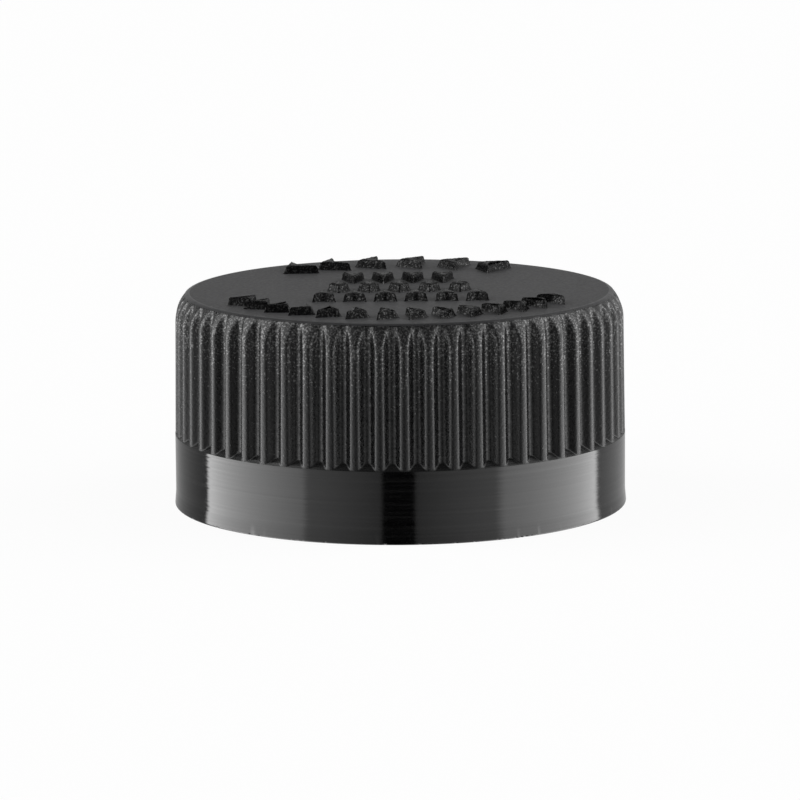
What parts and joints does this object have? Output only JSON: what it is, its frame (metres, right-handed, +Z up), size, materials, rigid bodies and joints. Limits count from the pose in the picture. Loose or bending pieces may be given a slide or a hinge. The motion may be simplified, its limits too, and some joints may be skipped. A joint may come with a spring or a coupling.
{
  "type": "child-resistant vial cap",
  "caption": "Push-and-turn screw cap: a fluted outer shell with a smooth foot band turns freely round an inner threaded cap with a foam liner until it is pressed down.",
  "frame": {"origin": "centre of the outer shell's foot, on the surface it stands on", "axes": "+Z up along the cap's axis, from the open end to the flat top; -Y is the picture's front"},
  "size_m": [0.039, 0.039, 0.0191],
  "materials": {
    "shell_plastic": "matte",
    "inner_plastic": "satin",
    "liner_foam": "matte"
  },
  "bodies": {
    "outer": {"outer_shell": "shell_plastic"},
    "seal": {"liner": "liner_foam"},
    "inner": {"inner_cap": "inner_plastic"}
  },
  "joints": [
    {"name": "press", "type": "slide", "parent": "outer", "child": "seal", "axis": [0, 0, 1], "range_m": [0, 0.0012]},
    {"name": "free_turn", "type": "hinge", "parent": "seal", "child": "inner", "pos_m": [0, 0, 0.0133], "axis": [0, 0, 1], "continuous": true}
  ]
}
